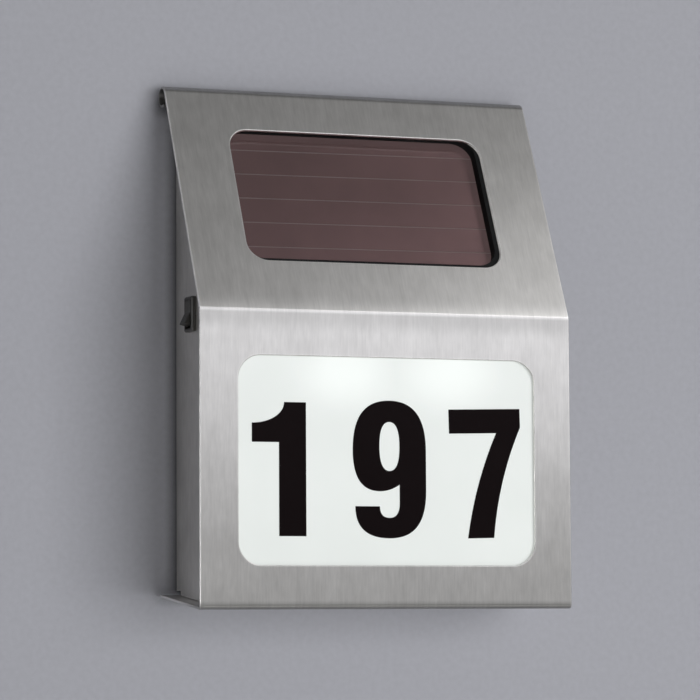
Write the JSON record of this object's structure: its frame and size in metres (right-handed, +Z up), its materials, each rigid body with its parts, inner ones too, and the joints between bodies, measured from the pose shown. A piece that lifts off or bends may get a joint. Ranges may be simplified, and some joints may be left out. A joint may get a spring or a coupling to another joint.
{
  "type": "solar house number light",
  "caption": "Wall light in folded brushed stainless, with a sloped solar panel above a lit opal pane that carries a house number, and a rocker switch on the left side.",
  "frame": {"origin": "on the wall plane, midway between the two wall screw holes in the tray's back", "axes": "+X to the viewer's right, +Y into the wall, +Z up"},
  "size_m": [0.168, 0.056, 0.225],
  "materials": {
    "brushed_stainless": "brushed, grain running up and down",
    "opal": "translucent opal, gloss",
    "clear_tape": "clear adhesive",
    "black_vinyl": "vinyl film, low gloss",
    "solar_glass": "clear float glass",
    "solar_film": "brown amorphous silicon film",
    "solar_sheet": "back coating",
    "black_foam": "closed-cell foam",
    "black_plastic": "moulded, fine grain",
    "white_plastic": "moulded white",
    "board_green": "solder mask",
    "led_epoxy": "clear epoxy",
    "ferrite": "ferrite drum with lacquered wire",
    "capacitor_sleeve": "shrink sleeve",
    "cell_sleeve": "shrink sleeve",
    "zinc": "bright zinc",
    "nickel": "nickel plate",
    "terminal_brass": "tinned brass",
    "red_lead": "insulation",
    "black_lead": "insulation"
  },
  "bodies": {
    "case": {"battery_bridge": "nickel", "battery_cells": "cell_sleeve", "battery_contacts": "nickel", "battery_holder": "black_plastic", "battery_lead_black": "black_lead", "battery_lead_red": "red_lead", "board_screws": "zinc", "box_pads": "black_foam", "cover_screws": "zinc", "digit_nine": "black_vinyl", "digit_one": "black_vinyl", "digit_seven": "black_vinyl", "driver_board": "board_green", "driver_capacitor": "capacitor_sleeve", "driver_chip": "black_plastic", "driver_coil": "ferrite", "front_cover": "brushed_stainless", "holder_pad": "black_foam", "junction_cap": "black_plastic", "leds": "led_epoxy", "light_box": "white_plastic", "lip_nuts": "zinc", "number_pane": "opal", "pane_tape": "clear_tape", "solar_back": "solar_sheet", "solar_cells": "solar_film", "solar_gasket": "black_foam", "solar_glass": "solar_glass", "solar_lead_black": "black_lead", "solar_lead_red": "red_lead", "switch_housing": "black_plastic", "switch_lead": "red_lead", "switch_terminals": "terminal_brass", "wall_tray": "brushed_stainless"},
    "rocker": {"switch_rocker": "black_plastic"}
  },
  "joints": [
    {"name": "rocker_tilt", "type": "hinge", "parent": "case", "child": "rocker", "pos_m": [-0.0758, -0.0231, -0.0646], "axis": [0, -1, 0], "range_deg": [0, 26]}
  ]
}
